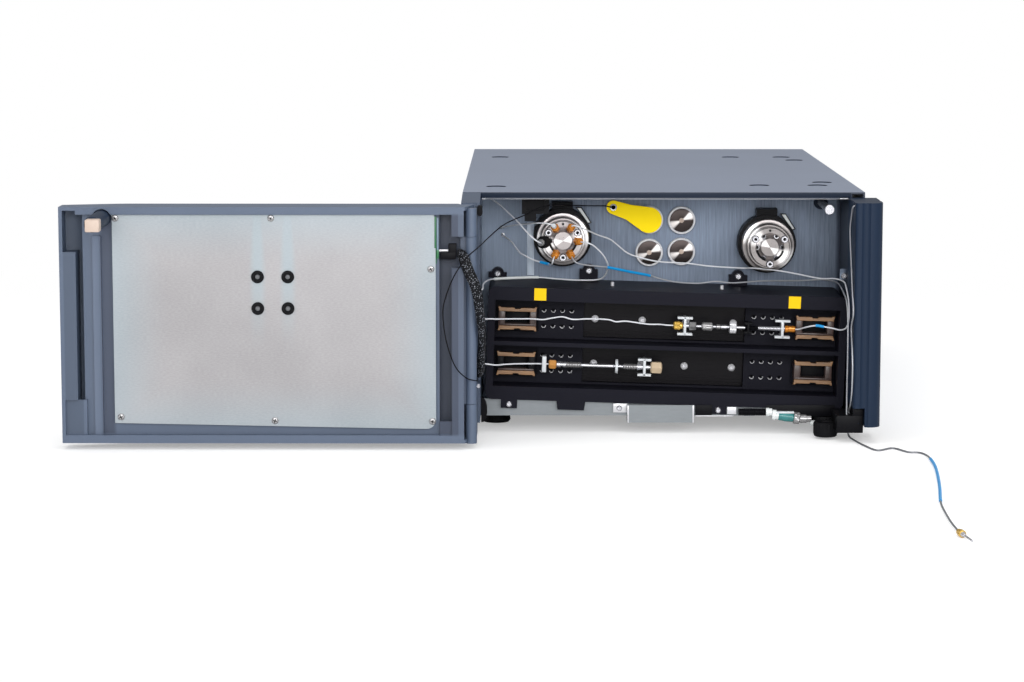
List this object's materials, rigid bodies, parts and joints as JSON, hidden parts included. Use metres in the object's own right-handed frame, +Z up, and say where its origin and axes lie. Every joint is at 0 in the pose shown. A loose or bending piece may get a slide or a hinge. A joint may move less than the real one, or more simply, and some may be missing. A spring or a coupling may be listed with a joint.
{
  "type": "hplc column compartment",
  "caption": "Stackable heated column compartment for liquid chromatography with a swing door, column oven, two switching valves and capillaries.",
  "frame": {"origin": "middle of the footprint of case and open door on the desk plane", "axes": "+X to the right seen from the front, +Y to the rear, +Z up; the bay opens towards -Y"},
  "size_m": [0.7158, 1.062, 0.2077],
  "materials": {
    "cover_paint": "fine textured paint",
    "zinc_sheet": "zinc plated sheet",
    "panel_zinc": "brushed zinc sheet",
    "door_plastic": "matte moulding",
    "navy_plastic": "satin moulding",
    "black_plastic": "matte",
    "oven_black": "matte moulding",
    "heater_black": "black anodised plate",
    "foam": "rigid foam",
    "clip_brown": "high temperature polymer",
    "yellow": "smooth",
    "screw_steel": "bright",
    "steel": "turned stainless steel",
    "nut_gold": "turned",
    "brass": "turned",
    "clear_plastic": "translucent",
    "blue_sleeve": "smooth sleeve",
    "white_plastic": "smooth",
    "rubber_black": "matte",
    "board_green": "circuit board",
    "tan_plastic": "matte",
    "drive_grey": "satin",
    "braid": "braided sleeve",
    "rotor_peek": "polymer"
  },
  "bodies": {
    "case": {"top_cover": "cover_paint", "base_pan": "zinc_sheet", "front_bulkhead": "zinc_sheet", "rear_panel": "zinc_sheet", "left_cheek": "door_plastic", "right_trim": "navy_plastic", "feet": "rubber_black", "hinge_brackets": "zinc_sheet", "hinge_pins": "screw_steel", "door_bumper": "rubber_black", "guide_bracket": "black_plastic", "catch_pin": "screw_steel", "oven_housing": "oven_black", "oven_insulation": "foam", "heater_plates": "heater_black", "column_clips": "clip_brown", "oven_squares": "yellow", "case_screws": "screw_steel", "left_stator": "steel", "right_stator": "steel", "valve_collars": "black_plastic", "valve_drives": "drive_grey", "port_nuts": "nut_gold", "blank_nut": "black_plastic", "tag_readers": "steel", "column_tag": "yellow", "upper_column": "steel", "upper_fittings": "brass", "guard_column": "steel", "guard_fittings": "nut_gold", "column_clamps": "clear_plastic", "valve_lines": "steel", "inlet_lines": "steel", "right_lines": "steel", "line_sleeves": "blue_sleeve", "drip_bracket": "zinc_sheet", "drain_tube": "white_plastic", "drain_fitting": "white_plastic", "drain_cup": "black_plastic", "outlet_clip": "black_plastic", "outlet_capillary": "steel", "outlet_sleeve": "blue_sleeve", "outlet_fitting": "brass", "power_supply": "zinc_sheet", "main_board": "board_green", "fan_frame": "black_plastic", "mains_inlet": "black_plastic", "rear_sockets": "drive_grey"},
    "door": {"door_shell": "door_plastic", "door_panel": "panel_zinc", "door_screws": "screw_steel", "door_grommets": "rubber_black", "latch_block": "tan_plastic", "door_board": "board_green", "door_harness": "braid", "tag_cord": "braid"},
    "left_valve_rotor": {"left_rotor": "rotor_peek"},
    "right_valve_rotor": {"right_rotor": "rotor_peek"},
    "fan": {"fan_rotor": "black_plastic"},
    "power_switch": {"power_rocker": "black_plastic"}
  },
  "joints": [
    {"name": "door_hinge", "type": "hinge", "parent": "case", "child": "door", "pos_m": [-0.002, -0.2895, 0.1], "axis": [0, 0, 1], "range_deg": [0, 180], "deforming": ["door_harness", "tag_cord"]},
    {"name": "left_valve_turn", "type": "hinge", "parent": "case", "child": "left_valve_rotor", "pos_m": [0.07534, -0.1495, 0.16311], "axis": [0, 1, 0], "range_deg": [0, 60]},
    {"name": "right_valve_turn", "type": "hinge", "parent": "case", "child": "right_valve_rotor", "pos_m": [0.25426, -0.1495, 0.15749], "axis": [0, 1, 0], "range_deg": [0, 60]},
    {"name": "fan_spin", "type": "hinge", "parent": "case", "child": "fan", "pos_m": [0.2558, 0.3375, 0.135], "axis": [0, 1, 0], "continuous": true},
    {"name": "power_rock", "type": "hinge", "parent": "case", "child": "power_switch", "pos_m": [0.0618, 0.351, 0.052], "axis": [-1, 0, 0], "range_deg": [0, 16]}
  ]
}
